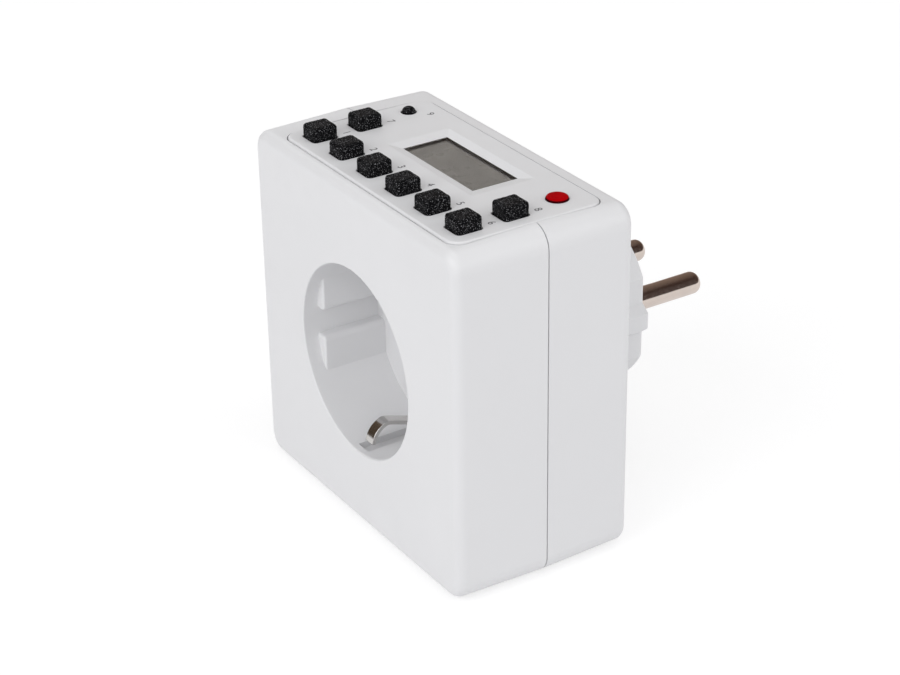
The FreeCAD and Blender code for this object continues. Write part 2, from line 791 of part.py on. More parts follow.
REAR_POST_LINE = "(%s - RearPostInset)" % PANEL_BACK
post_places = []
for side in ("-", "+"):
    post_places.append(on_panel(side, "PostMargin", "PostLine"))
    post_places.append(on_panel(side, "RearPostMargin", REAR_POST_LINE))
front_keys = ["clock", "timer", "week", "hour", "minute", "recall"]
key_places = {}
for count, key in enumerate(front_keys):
    share = 2 * count / (len(front_keys) - 1) - 1
    key_places[key] = ("PanelCentre + (%g) * (%s - KeyMargin)" % (share, PANEL_SIDE), "KeyLine")
key_places["manual"] = (key_places["clock"][0], "SecondKeyLine")
key_places["random"] = (key_places["recall"][0], "SecondKeyLine")
reset_place = on_panel("-", "ResetMargin", "%s - ResetInset" % PANEL_BACK)
lamp_place = on_panel("+", "LampMargin", "%s - LampInset" % PANEL_BACK)


def centred(drawing, x, y, wide, deep, radius=None):
    edges = ("%s - (%s) / 2" % (x, wide), "%s - (%s) / 2" % (y, deep),
             "%s + (%s) / 2" % (x, wide), "%s + (%s) / 2" % (y, deep))
    if radius:
        rounded(drawing, *edges, radius)
    else:
        rectangle(drawing, *edges)


def make_control_panel():
    body = new_body("control_panel")
    flange = facing_up(body, PANEL_UNDER)
    rounded(flange, "PanelCentre - %s - FlangeOverlap" % PANEL_SIDE, PANEL_FRONT,
            "PanelCentre + %s + FlangeOverlap" % PANEL_SIDE, PANEL_BACK + " + FlangeOverlap", "PanelCorner")
    pad(flange, "FlangeThickness")
    plate = facing_up(body, "AxisToTop - WallThickness")
    rounded(plate, "PanelCentre - " + PANEL_SIDE, PANEL_FRONT, "PanelCentre + " + PANEL_SIDE, PANEL_BACK,
            "PanelCorner")
    pad(plate, "WallThickness")
    fillet(body, "PanelEdge", edges_at("Z", "AxisToTop"))
    for x, y in key_places.values():
        hole = facing_up(body, "AxisToTop")
        centred(hole, x, y, "KeyWidth + 2 * KeyGap", "KeyDepth + 2 * KeyGap", "KeyCorner + KeyGap")
        pocket(hole, "WallThickness + FlangeThickness")
    holes = facing_up(body, "AxisToTop")
    circle(holes, "ResetRadius + KeyGap", *reset_place)
    circle(holes, "LampRadius + FitGap", *lamp_place)
    pocket(holes, "WallThickness + FlangeThickness")
    add_window(body)
    posts = facing_up(body, PANEL_UNDER)
    for x, y in post_places:
        circle(posts, "PostRadius", x, y)
    pad(posts, "PostHeight", against=True)
    pilots = facing_up(body, BOARD_TOP)
    for x, y in post_places:
        circle(pilots, "PostPilot", x, y)
    pocket(pilots, "BoardScrewLength - BoardThickness + FitGap", along=True)


def add_window(body):
    # A bevelled frame that sinks to the window, and the seat of its lens below
    top = facing_up(body, "AxisToTop")
    centred(top, "PanelCentre", DISPLAY_LINE, "WindowWidth + 2 * BevelSide", "WindowDepth + 2 * BevelEnd")
    bottom = facing_up(body, LENS_TOP)
    centred(bottom, "PanelCentre", DISPLAY_LINE, "WindowWidth", "WindowDepth")
    bevel = body.newObject("PartDesign::SubtractiveLoft", "window_bevel")
    bevel.Profile = top
    bevel.Sections = [bottom]
    bevel.Ruled = True
    seat = facing_up(body, PANEL_UNDER)
    centred(seat, "PanelCentre", DISPLAY_LINE, "WindowWidth + 2 * LensLip + 2 * FitGap",
            "WindowDepth + 2 * LensLip + 2 * FitGap")
    pocket(seat, LENS_TOP + " - " + PANEL_UNDER, along=True)


def make_key(name, x, y):
    body = new_body(name + "_button")
    cap = facing_up(body, KEY_FLANGE_TOP)
    centred(cap, x, y, "KeyWidth", "KeyDepth", "KeyCorner")
    pad(cap, "AxisToTop + KeyRise - " + KEY_FLANGE_TOP)
    fillet(body, "KeyCorner", edges_at("Z", "AxisToTop + KeyRise"))
    flange = facing_up(body, KEY_FLANGE_UNDER)
    centred(flange, x, y, "KeyWidth + 2 * KeyGap + 2 * KeyFlange", "KeyDepth + 2 * KeyGap + 2 * KeyFlange")
    pad(flange, "KeyFlangeThickness")
    stem = facing_up(body, PLUNGER_TOP)
    circle(stem, "StemRadius", x, y)
    pad(stem, "%s - %s" % (KEY_FLANGE_UNDER, PLUNGER_TOP))


def make_reset():
    body = new_body("reset_button")
    x, y = reset_place
    dome = facing_up(body, KEY_FLANGE_TOP)
    circle(dome, "ResetRadius", x, y)
    pad(dome, "AxisToTop + ResetRise - " + KEY_FLANGE_TOP)
    fillet(body, "ResetRounding", edges_at("Z", "AxisToTop + ResetRise"))
    flange = facing_up(body, KEY_FLANGE_UNDER)
    circle(flange, "ResetFlangeRadius", x, y)
    pad(flange, "KeyFlangeThickness")
    stem = facing_up(body, PLUNGER_TOP)
    circle(stem, "StemRadius", x, y)
    pad(stem, "%s - %s" % (KEY_FLANGE_UNDER, PLUNGER_TOP))


def make_switches():
    # One tactile switch under each button; its plunger moves with the button
    cases = []
    for name, (x, y) in list(key_places.items()) + [("reset", reset_place)]:
        half = "SwitchWidth / 2"
        case = block("%s - %s" % (x, half), "%s - %s" % (y, half), BOARD_TOP, "SwitchWidth", "SwitchWidth",
                     "SwitchHeight")
        well = "(PlungerDepth + KeyTravel + FitGap)"
        hole = rod("up", x, y, "%s - %s" % (SWITCH_TOP, well), "PlungerRadius + RunningFit", well)
        cases.append(cut(case, hole))
        plunger = rod("up", x, y, SWITCH_TOP + " - PlungerDepth", "PlungerRadius",
                      "PlungerDepth + PlungerRise")
        node(group(plunger), name + "_plunger")
    node(group(*cases), "key_switches")


def make_lamp():
    body = new_body("power_lamp")
    x, y = lamp_place
    base = "(%s + LampLegLength)" % BOARD_TOP
    flange = facing_up(body, base)
    circle(flange, "LampFlangeRadius", x, y)
    pad(flange, "LampFlangeThickness")
    barrel = facing_up(body, base)
    circle(barrel, "LampRadius", x, y)
    pad(barrel, "AxisToTop + LampRise - " + base)
    fillet(body, "LampRounding", edges_at("Z", "AxisToTop + LampRise"))
    legs = facing_up(body, BOARD_TOP)
    for side in ("-", "+"):
        centred(legs, "%s %s LampLegSpacing / 2" % (x, side), y, "LampLegWidth", "LampLegWidth")
    pad(legs, "LampLegLength")


def make_display():
    wide, deep = "(WindowWidth + 2 * LensLip)", "(WindowDepth + 2 * LensLip)"
    left, front = "(PanelCentre - %s / 2)" % wide, "(%s - %s / 2)" % (DISPLAY_LINE, deep)
    lens = block(left, front, LENS_TOP + " - LensThickness", wide, deep, "LensThickness")
    node(group(lens), "display_lens")
    glass = block(left, front, DISPLAY_UNDER, wide, deep, "DisplayThickness")
    node(group(glass), "display_glass")
    wall = "(DisplayWall + FitGap)"
    height = "(%s - %s)" % (DISPLAY_UNDER, BOARD_TOP)
    outer = block(left + " - " + wall, front + " - " + wall, BOARD_TOP, wide + " + 2 * " + wall,
                  deep + " + 2 * " + wall, "%s - FitGap - %s" % (PANEL_UNDER, BOARD_TOP))
    seat = block(left + " - FitGap", front + " - FitGap", DISPLAY_UNDER, wide + " + 2 * FitGap",
                 deep + " + 2 * FitGap", "DisplayThickness")
    inner = block(left + " + DisplayLedge", front + " + DisplayLedge", BOARD_TOP,
                  wide + " - 2 * DisplayLedge", deep + " - 2 * DisplayLedge", height)
    node(cut(outer, seat, inner), "display_frame")
    rubber = block("PanelCentre - StripWidth / 2", front + " + DisplayLedge", BOARD_TOP, "StripWidth",
                   "StripThickness", height)
    node(group(rubber), "display_connector")


# Boards and what stands on them


def make_display_board():
    half = "(%s + BoardSideOverlap)" % PANEL_SIDE
    board = block("PanelCentre - " + half, PANEL_FRONT + " + BoardFrontGap", BOARD_UNDER, "2 * " + half,
                  "%s - %s" % (PANEL_BACK, PANEL_FRONT), "BoardThickness")
    holes = [rod("up", x, y, BOARD_UNDER, "BoardScrewRadius + ScrewHoleGap", "BoardThickness")
             for x, y in post_places]
    node(cut(board, *holes), "display_board")
    screws = []
    for x, y in post_places:
        shank = rod("up", x, y, BOARD_UNDER, "BoardScrewRadius", "BoardScrewLength")
        head = rod("up", x, y, BOARD_UNDER + " - BoardScrewHeadHeight", "BoardScrewHeadRadius",
                   "BoardScrewHeadHeight")
        screws.append(join(shank, head))
    node(group(*screws), "display_board_screws")


def make_display_electronics():
    chip = block("PanelCentre + %s - ChipMargin - ChipWidth / 2" % PANEL_SIDE,
                 PANEL_BACK + " - ChipInset - ChipWidth / 2", BOARD_UNDER + " - ChipHeight",
                 "ChipWidth", "ChipWidth", "ChipHeight")
    node(group(chip), "controller_chip")
    crystal = rod("right", "PanelCentre + %s - CrystalMargin" % PANEL_SIDE, PANEL_BACK + " - CrystalInset",
                  BOARD_UNDER + " - CrystalRadius", "CrystalRadius", "CrystalLength")
    node(group(crystal), "quartz_crystal")
    x, y = on_panel("-", "BatteryMargin", PANEL_BACK + " - BatteryInset")
    battery = rod("up", x, y, BOARD_UNDER + " - BatteryHeight", "BatteryRadius", "BatteryHeight")
    node(group(battery), "backup_battery")


def make_board_cable():
    # A flat cable upright between the boards, with a header at each end
    low, high = "(HeaderHeight - %s)" % POWER_TOP, "(%s - HeaderHeight)" % BOARD_UNDER
    cable = block("-%s - CableThickness / 2" % CABLE_SIDE, CABLE_LINE + " - CableWidth / 2", low,
                  "CableThickness", "CableWidth", "%s - %s" % (high, low))
    node(group(cable), "board_cable")
    headers = []
    for z in ("-" + POWER_TOP, high):
        headers.append(block("-%s - HeaderWidth / 2" % CABLE_SIDE,
                             CABLE_LINE + " - CableWidth / 2 - HeaderWall", z, "HeaderWidth",
                             "CableWidth + 2 * HeaderWall", "HeaderHeight"))
    node(group(*headers), "cable_headers")


def make_power_electronics():
    floor = "-" + POWER_TOP
    front = "(%s + RelayFrontGap)" % FLOOR_BACK
    relay = block("RelaySide", front, floor, POWER_SIDE + " - RelayMargin - RelaySide",
                  "%s - RelayBackGap - %s" % (POWER_BACK, front), POWER_TOP + " - RelayTop")
    node(group(relay), "relay")
    width = "(%s - HeaderWidth / 2 - FilmMargin - FilmSide)" % CABLE_SIDE
    film = block("-FilmSide - " + width, "FilmFront", floor, width, "FilmDepth", POWER_TOP + " - FilmTop")
    node(group(film), "film_capacitor")
    cans = [rod("up", side + CAN_SIDE, "CanLine", floor, "CanRadius", POWER_TOP + " - CanTop")
            for side in ("-", "")]
    node(group(*cans), "electrolytic_capacitors")
    varistor = rod("back", "-%s / 2" % CAN_SIDE, "VaristorFront", floor + " + VaristorRadius",
                   "VaristorRadius", "VaristorThickness")
    node(group(varistor), "varistor")
    diodes = [rod("right", "-DiodeLength / 2", "DiodeLine + %d * DiodePitch" % n, floor + " + DiodeRadius",
                  "DiodeRadius", "DiodeLength") for n in range(4)]
    node(group(*diodes), "rectifier_diodes")
    resistor = rod("back", CAN_SIDE + " / 2", "ResistorFront", floor + " + ResistorRadius",
                   "ResistorRadius", "ResistorLength")
    node(group(resistor), "dropper_resistor")
    fuse = rod("back", "FuseSide", "FuseFront", floor + " + FuseRadius", "FuseRadius", "FuseLength")
    node(group(fuse), "thermal_fuse")


def make_power_board():
    under = "(-%s - BoardThickness)" % POWER_TOP
    board = block("-" + POWER_SIDE, "PowerBoardFront", under, "2 * " + POWER_SIDE,
                  POWER_BACK + " - PowerBoardFront", "BoardThickness")
    places = front_stands + rear_stands
    holes = [rod("up", x, y, under, "BoardScrewRadius + ScrewHoleGap", "BoardThickness") for x, y in places]
    node(cut(board, *holes), "power_board")
    screws = []
    for x, y in places:
        shank = rod("up", x, y, "-%s - PowerScrewLength" % POWER_TOP, "BoardScrewRadius", "PowerScrewLength")
        head = rod("up", x, y, "-" + POWER_TOP, "BoardScrewHeadRadius", "BoardScrewHeadHeight")
        screws.append(join(shank, head))
    node(group(*screws), "power_board_screws")


# Contacts


def make_carrier():
    solids = [block("-CarrierWidth / 2", CARRIER_FRONT, "-CarrierHeight / 2", "CarrierWidth",
                    "CarrierThickness", "CarrierHeight")]
    bores = []
    for across in ("-", ""):
        x = across + PIN_SIDE
        solids.append(rod("back", x, CARRIER_FRONT, "0", CONTACT_OUTER + " + FitGap + SleeveWall",
                          "CarrierThickness + SleeveLength"))
        bores.append(rod("back", x, CARRIER_BACK, "0", CONTACT_OUTER + " + FitGap", "SleeveLength"))
        bores.append(rod("back", x, CARRIER_FRONT, "0", "PinHoleRadius", "CarrierThickness"))
        foot = "(CarrierHeight / 2 - LegRadius)"
        for up in ("-", ""):
            solids.append(rod("back", "%s(CarrierWidth / 2 - LegRadius)" % across, FLOOR_BACK, up + foot,
                              "LegRadius", "%s - %s" % (CARRIER_FRONT, FLOOR_BACK)))
        bores.append(block(x + " - TailWidth / 2 - FitGap", CARRIER_BACK,
                           "-" + CONTACT_OUTER + " - SleeveWall - 2 * FitGap", "TailWidth + 2 * FitGap",
                           "SleeveLength", "SleeveWall + ContactWall + 2 * FitGap"))
    ring = cut(rod("back", "0", CARRIER_FRONT, "0", "SpringRadius + SpringRoom", "SpringRecess"),
               rod("back", "0", CARRIER_FRONT, "0", "PivotRadius", "SpringRecess"))
    bores.append(ring)
    pivot = rod("back", "0", FLOOR_BACK + " + FitGap", "0", "PivotRadius",
                "%s - %s - FitGap" % (CARRIER_FRONT, FLOOR_BACK))
    node(join(cut(join(*solids), *bores), pivot), "contact_carrier")


def make_shutter():
    # A round plate whose two holes come in line with the pin holes when it turns
    body = new_body("shutter")
    plate = facing_front(body, FLOOR_BACK + " + ShutterGap")
    circle(plate, "ShutterRadius")
    pad(plate, "ShutterThickness", against=True)
    holes = facing_front(body, FLOOR_BACK + " + ShutterGap")
    circle(holes, "PivotRadius + PinFit")
    for side in ("", "-"):
        circle(holes, "ShutterHole", "%s%s * cos(ShutterSwing)" % (side, PIN_SIDE),
               "%s%s * sin(ShutterSwing)" % (side, PIN_SIDE))
    pocket(holes, "ShutterThickness")


def make_shutter_spring():
    body = new_body("shutter_spring")
    wire = facing_up(body, "0")
    circle(wire, "SpringWire", "SpringRadius", CARRIER_FRONT + " + SpringWire + FitGap")
    coil = body.newObject("PartDesign::AdditiveHelix", "spring_coil")
    coil.Profile = wire
    coil.ReferenceAxis = (wire, ["V_Axis"])
    coil.Mode = "pitch-height-angle"
    coil.setExpression("Pitch", sized("SpringPitch"))
    coil.setExpression("Height", sized("SpringPitch * SpringTurns"))


def make_contacts():
    for label, across in (("line_contact", ""), ("neutral_contact", "-")):
        x = across + PIN_SIDE
        tube = rod("back", x, CARRIER_BACK, "0", CONTACT_OUTER, CONTACT_LENGTH)
        place = "%s + %s - TailInset" % (CARRIER_BACK, CONTACT_LENGTH)
        tail = block(x + " - TailWidth / 2", place, "-" + POWER_TOP, "TailWidth", "TailThickness",
                     POWER_TOP + " - ContactBore")
        bore = rod("back", x, CARRIER_BACK, "0", "ContactBore", CONTACT_LENGTH)
        slit = block(x + " - ContactSlit / 2", CARRIER_BACK, "0", "ContactSlit", CONTACT_LENGTH,
                     CONTACT_OUTER)
        node(cut(join(tube, tail), bore, slit), label)


def make_earth_strap():
    # One strip behind the floor of the recess that ends in two curled clips
    body = new_body("earth_strap")
    back = "(%s + StrapThickness / 2)" % CARRIER_BACK
    for up in ("-", ""):
        crest = up + "(SocketRadius - ClipTopDrop)"
        points = [(back, "0"), (back, up + STRAP_REACH), ("ClipFootLine", up + STRAP_REACH),
                  ("ClipBendLine", crest), ("ClipTopLine", crest),
                  ("ClipRiseLine", up + "(SocketRadius - ClipRiseDrop)"),
                  ("ClipCurlLine", up + "(SocketRadius - ClipCurlDrop)"),
                  ("ClipTipLine", up + "(SocketRadius - ClipTipDrop)")]
        strip(body, "0", points, "StrapWidth", "StrapThickness")


def make_plug_earths():
    start = "(%s + StrapThickness)" % CARRIER_BACK
    out = "(HousingDepth + CollarLength)"
    for label, up in (("upper_earth_contact", ""), ("lower_earth_contact", "-")):
        body = new_body(label)
        low, high = up + "EarthReach", up + "(EarthReach + EarthBow)"
        points = [(start, low), (out + " + EarthLead", low), (out + " + EarthLead + EarthRamp", high),
                  (PLUG_END + " - EarthEnd - EarthRamp", high), (PLUG_END + " - EarthEnd", low)]
        strip(body, "0", points, "EarthWidth", "StrapThickness")


def make_pin(label, across):
    body = new_body(label)
    x = across + PIN_SIDE
    inner = PLUG_END + " - PlugEndWall"
    shank = facing_front(body, inner)
    circle(shank, "ShankRadius", x)
    pad(shank, "PlugEndWall + PinShoulder", against=True)
    pin = facing_front(body, PLUG_END + " + PinShoulder")
    circle(pin, "PinRadius", x)
    pad(pin, "PinLength - PinShoulder", against=True)
    fillet(body, "PinEnd", edges_at("Y", PLUG_END + " + PinLength"))
    flange = facing_front(body, inner)
    circle(flange, "PinFlangeRadius", x)
    pad(flange, "PinFlangeThickness")
    tail = facing_front(body, inner + " - PinFlangeThickness")
    circle(tail, "PinTailRadius", x)
    pad(tail, "PinTailLength")


def make_busbar(label, across):
    body = new_body(label)
    x = across + PIN_SIDE
    plate = "(%s - PlugEndWall - PinFlangeThickness - BarThickness / 2)" % PLUG_END
    points = [(plate, "BarRise"), (plate, "-BarDrop"), (BAR_BACK, "-BarDrop"), (BAR_BACK, "-" + POWER_TOP)]
    strip(body, x, points, "BarWidth", "BarThickness")
    hole = facing_front(body, plate + " + BarThickness / 2")
    circle(hole, "PinTailRadius + PinFit", x)
    pocket(hole, "BarThickness", along=True)


def check_and_export():
    doc.recompute()
    for thing in doc.Objects:
        if "Invalid" in thing.State or "Error" in thing.State:
            raise RuntimeError("failed: " + thing.Label)
    os.makedirs("parts", exist_ok=True)
    for thing in nodes:
        shape = thing.Shape
        if shape.isNull() or not shape.isValid() or not shape.Solids:
            raise RuntimeError("not a solid: " + thing.Label)
        shape.exportStep("parts/%s.step" % thing.Label)
        print("%-24s %d solid(s) %10.1f mm3" % (thing.Label, len(shape.Solids), shape.Volume))


fill_sheet()
make_front_shell()
make_rear_shell()
make_plug_body()
make_housing_screws()
make_control_panel()
for key, place in key_places.items():
    make_key(key, *place)
make_reset()
make_switches()
make_lamp()
make_display()
make_display_board()
make_display_electronics()
make_power_board()
make_power_electronics()
make_board_cable()
make_carrier()
make_shutter()
make_shutter_spring()
make_contacts()
make_earth_strap()
make_plug_earths()
make_pin("line_pin", "")
make_pin("neutral_pin", "-")
make_busbar("line_busbar", "")
make_busbar("neutral_busbar", "-")
check_and_export()
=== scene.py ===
# Plug-in weekly timer. Lengths are in metres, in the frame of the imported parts.
import math

import bmesh
import bpy
from mathutils import Euler, Matrix, Vector, noise


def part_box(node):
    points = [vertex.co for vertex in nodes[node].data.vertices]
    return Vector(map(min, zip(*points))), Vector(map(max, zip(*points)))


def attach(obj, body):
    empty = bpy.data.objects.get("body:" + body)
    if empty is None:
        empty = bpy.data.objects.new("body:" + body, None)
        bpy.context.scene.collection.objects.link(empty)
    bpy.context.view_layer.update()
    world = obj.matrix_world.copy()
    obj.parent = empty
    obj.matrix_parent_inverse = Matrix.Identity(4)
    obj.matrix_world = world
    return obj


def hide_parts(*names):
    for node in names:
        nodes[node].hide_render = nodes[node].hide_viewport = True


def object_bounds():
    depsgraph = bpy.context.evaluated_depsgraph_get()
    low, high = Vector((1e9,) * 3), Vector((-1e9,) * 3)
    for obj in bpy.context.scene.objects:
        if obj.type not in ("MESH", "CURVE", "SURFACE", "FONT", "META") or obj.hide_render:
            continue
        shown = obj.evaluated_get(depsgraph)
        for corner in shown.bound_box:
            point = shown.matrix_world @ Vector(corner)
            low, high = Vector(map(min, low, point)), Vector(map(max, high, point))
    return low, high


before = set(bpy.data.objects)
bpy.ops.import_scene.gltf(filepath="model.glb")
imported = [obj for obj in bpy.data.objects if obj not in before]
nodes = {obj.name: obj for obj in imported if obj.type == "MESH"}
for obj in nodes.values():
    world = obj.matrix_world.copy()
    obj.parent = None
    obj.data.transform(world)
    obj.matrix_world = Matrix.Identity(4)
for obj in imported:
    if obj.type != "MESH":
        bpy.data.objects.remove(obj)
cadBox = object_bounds()
print("frame:", len(nodes), "nodes")

# The photo's view; azimuth 0 looks along +Y, and the angles are in degrees
view = {"place": (0.345382, -0.255517, 0.213327), "azimuth": 57.593, "elevation": 27.670,
        "roll": -0.906, "lens": 92.048, "nearest": 0.01}


def makeCamera():
    camera = bpy.data.objects.new("camera", bpy.data.cameras.new("camera"))
    bpy.context.collection.objects.link(camera)
    camera.data.lens = view["lens"]
    camera.data.clip_start = view["nearest"]
    turn = Euler((0, 0, math.radians(view["azimuth"]))).to_matrix()
    tilt = Euler((math.radians(90 - view["elevation"]), 0, 0)).to_matrix()
    roll = Euler((0, 0, math.radians(view["roll"]))).to_matrix()
    camera.matrix_world = Matrix.Translation(view["place"]) @ (turn @ tilt @ roll).to_4x4()
    bpy.context.scene.camera = camera


makeCamera()


# Materials

def node(tree, kind, **settings):
    made = tree.nodes.new("ShaderNode" + kind)
    for name, value in settings.items():
        setattr(made, name, value)
    return made


def arithmetic(tree, operation, first, second):
    # A Math node whose inputs are sockets or plain numbers
    made = node(tree, "Math", operation=operation)
    for place, value in enumerate((first, second)):
        if isinstance(value, (int, float)):
            made.inputs[place].default_value = value
        else:
            tree.links.new(value, made.inputs[place])
    return made.outputs[0]


def blendColor(tree, share, first, second):
    # Two colours, each a socket or plain numbers, by a share that is a socket
    made = node(tree, "Mix", data_type="RGBA")
    tree.links.new(share, made.inputs["Factor"])
    for name, value in (("A", first), ("B", second)):
        socket = next(s for s in made.inputs if s.name == name and s.type == "RGBA")
        if isinstance(value, tuple):
            socket.default_value = (*value, 1)
        else:
            tree.links.new(value, socket)
    return next(s for s in made.outputs if s.type == "RGBA")


def noiseAt(tree, place, scale, detail="patchDetail"):
    made = node(tree, "TexNoise")
    made.inputs["Scale"].default_value = scale
    made.inputs["Detail"].default_value = pattern[detail]
    tree.links.new(place, made.inputs["Vector"])
    return made.outputs["Fac"]


def stretch(tree, value, low, high, outLow, outHigh):
    made = node(tree, "MapRange")
    tree.links.new(value, made.inputs["Value"])
    for name, number in (("From Min", low), ("From Max", high), ("To Min", outLow), ("To Max", outHigh)):
        made.inputs[name].default_value = number
    return made.outputs["Result"]


# How the noise becomes patches, grain and painted glint specks; the noise runs between low and high
pattern = {"low": 0.3, "high": 0.7, "patchDetail": 2.0, "grainDetail": 3.0, "smoother": 0.85,
           "rougher": 1.2, "glintEdge": 0.05}

# Scales are in features per metre and reliefs in metres; the white shells have no relief
finishes = {
    "housingWhite": {"color": (0.775, 0.775, 0.785), "vary": 0.015, "patches": 40, "roughness": 0.38,
                     "grain": 250},
    "panelWhite": {"color": (0.765, 0.765, 0.775), "vary": 0.02, "patches": 50, "roughness": 0.4,
                   "grain": 300},
    # The black keys' pale specks are painted glints of their eroded skin
    "keyBlack": {"color": (0.004, 0.004, 0.005), "vary": 0.6, "patches": 3000, "roughness": 0.42,
                 "specular": 0.04, "grain": 5200, "relief": 0.00003, "paintedGlints": (0.24, 0.24, 0.25),
                 "glintGrain": 4800, "glintShare": 0.61},
    "inkGrey": {"color": (0.10, 0.10, 0.11), "vary": 0.5, "patches": 3000, "roughness": 0.6,
                "grain": 4000, "relief": 0.000003},
    "lampRed": {"color": (0.43, 0.0006, 0.003), "vary": 0.18, "patches": 500, "roughness": 0.3,
                "specular": 0.01, "grain": 1500, "relief": 0.000002},
    # Painted shade: a darker copy of the lamp's red for its rim and wall
    "lampShadedEdge": {"color": (0.05, 0.0004, 0.002), "vary": 0.3, "patches": 700, "roughness": 0.4,
                 "specular": 0.01, "grain": 1500, "relief": 0.000002},
    "lensClear": {"color": (0.90, 0.90, 0.89), "vary": 0.02, "patches": 100, "roughness": 0.04,
                  "grain": 600, "relief": 0.0000001, "transmission": 1.0, "bending": 1.2},
    "lensEdge": {"color": (0.17, 0.175, 0.185), "vary": 0.15, "patches": 300, "roughness": 0.6,
                 "grain": 2000, "relief": 0.000003},
    "displayGrey": {"color": (0.162, 0.150, 0.136), "vary": 0.14, "patches": 130, "roughness": 0.3,
                    "specular": 0.15, "grain": 300, "relief": 0.0000002},
    # The display's border: partly the glass's own tone, partly painted shade
    "displayEdgeShade": {"color": (0.11, 0.11, 0.115), "vary": 0.12, "patches": 200, "roughness": 0.3,
                    "specular": 0.15, "grain": 900, "relief": 0.0000002},
    "nickel": {"color": (0.64, 0.56, 0.51), "vary": 0.10, "patches": 260, "roughness": 0.13,
               "grain": 1800, "relief": 0.000002, "metal": 1.0},
    "clipNickel": {"color": (0.60, 0.585, 0.57), "vary": 0.10, "patches": 260, "roughness": 0.16,
                   "grain": 1800, "relief": 0.000002, "metal": 1.0},
    "brass": {"color": (0.70, 0.50, 0.22), "vary": 0.12, "patches": 220, "roughness": 0.26,
              "grain": 2400, "relief": 0.000003, "metal": 1.0},
    "steel": {"color": (0.50, 0.50, 0.51), "vary": 0.12, "patches": 300, "roughness": 0.30,
              "grain": 2600, "relief": 0.000004, "metal": 1.0},
    "greyPlastic": {"color": (0.42, 0.42, 0.43), "vary": 0.06, "patches": 80, "roughness": 0.5,
                    "grain": 2400, "relief": 0.000006},
    "whitePlastic": {"color": (0.70, 0.69, 0.66), "vary": 0.05, "patches": 80, "roughness": 0.45,
                     "grain": 2400, "relief": 0.000006},
    "blackPlastic": {"color": (0.03, 0.03, 0.032), "vary": 0.2, "patches": 200, "roughness": 0.4,
                     "grain": 3000, "relief": 0.000006},
    "rubber": {"color": (0.10, 0.10, 0.10), "vary": 0.2, "patches": 400, "roughness": 0.75,
               "grain": 3000, "relief": 0.00001},
    "boardGreen": {"color": (0.02, 0.13, 0.05), "vary": 0.35, "patches": 350, "roughness": 0.35,
                   "grain": 4000, "relief": 0.000008},
    "relayBlue": {"color": (0.03, 0.12, 0.38), "vary": 0.08, "patches": 90, "roughness": 0.4,
                  "grain": 2400, "relief": 0.000005},
    "filmYellow": {"color": (0.62, 0.40, 0.06), "vary": 0.1, "patches": 120, "roughness": 0.45,
                   "grain": 2400, "relief": 0.000006},
    "sleeveBlack": {"color": (0.02, 0.02, 0.03), "vary": 0.2, "patches": 250, "roughness": 0.3,
                    "grain": 2000, "relief": 0.000004, "coat": 0.3},
    "coatOchre": {"color": (0.50, 0.22, 0.03), "vary": 0.15, "patches": 250, "roughness": 0.5,
                  "grain": 2600, "relief": 0.00001},
    "coatBeige": {"color": (0.55, 0.42, 0.26), "vary": 0.12, "patches": 400, "roughness": 0.5,
                  "grain": 3000, "relief": 0.000006},
    "cableGrey": {"color": (0.36, 0.36, 0.38), "vary": 0.1, "patches": 200, "roughness": 0.55,
                  "grain": 2600, "relief": 0.000006},
}


def makeFinish(name, look):
    material = bpy.data.materials.new(name)
    material.use_nodes = True
    tree = material.node_tree
    shader = tree.nodes["Principled BSDF"]
    shader.inputs["Metallic"].default_value = look.get("metal", 0.0)
    shader.inputs["Coat Weight"].default_value = look.get("coat", 0.0)
    shader.inputs["Specular IOR Level"].default_value = look.get("specular", 0.5)
    shader.inputs["IOR"].default_value = look.get("bending", 1.5)
    shader.inputs["Transmission Weight"].default_value = look.get("transmission", 0.0)
    place = node(tree, "TexCoord").outputs["Object"]
    low, high = pattern["low"], pattern["high"]
    patches = stretch(tree, noiseAt(tree, place, look["patches"]), low, high, 0, 1)
    dark = tuple(part * (1 - look["vary"]) for part in look["color"])
    color = blendColor(tree, patches, dark, look["color"])
    grain = noiseAt(tree, place, look["grain"], "grainDetail")
    # Pale specks in the base colour: painted glints
    if "paintedGlints" in look:
        share = look["glintShare"]
        glintNoise = noiseAt(tree, place, look["glintGrain"])
        glintMask = stretch(tree, glintNoise, share, share + pattern["glintEdge"], 0, 1)
        color = blendColor(tree, glintMask, color, look["paintedGlints"])
    tree.links.new(color, shader.inputs["Base Color"])
    smoothest, roughest = (look["roughness"] * pattern[name] for name in ("smoother", "rougher"))
    tree.links.new(stretch(tree, grain, low, high, smoothest, roughest), shader.inputs["Roughness"])
    if "relief" in look:
        bump = node(tree, "Bump")
        bump.inputs["Distance"].default_value = look["relief"]
        tree.links.new(grain, bump.inputs["Height"])
        tree.links.new(bump.outputs["Normal"], shader.inputs["Normal"])
    return material


materials = {name: makeFinish(name, look) for name, look in finishes.items()}
print("finishes:", len(materials))


# Making and placing a piece

sharpFrom = 35  # degrees between two faces
mergeWithin = 0.000001  # metres between two points


def keepPiece(name, shape, finish, body, sharpAbove=sharpFrom):
    bmesh.ops.recalc_face_normals(shape, faces=shape.faces)
    mesh = bpy.data.meshes.new(name)
    shape.to_mesh(mesh)
    shape.free()
    return keepMesh(name, mesh, finish, body, sharpAbove)


def keepMesh(name, mesh, finish, body, sharpAbove=sharpFrom):
    mesh.materials.append(materials[finish])
    mesh.shade_smooth()
    mesh.set_sharp_from_angle(angle=math.radians(sharpAbove))
    piece = bpy.data.objects.new(name, mesh)
    bpy.context.collection.objects.link(piece)
    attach(piece, body)
    return piece


def middle(name):
    low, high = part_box(name)
    return (low + high) / 2, low, high


# Studio: a pale floor, surroundings of one plain level, four soft lamps, two dark cards for the metal

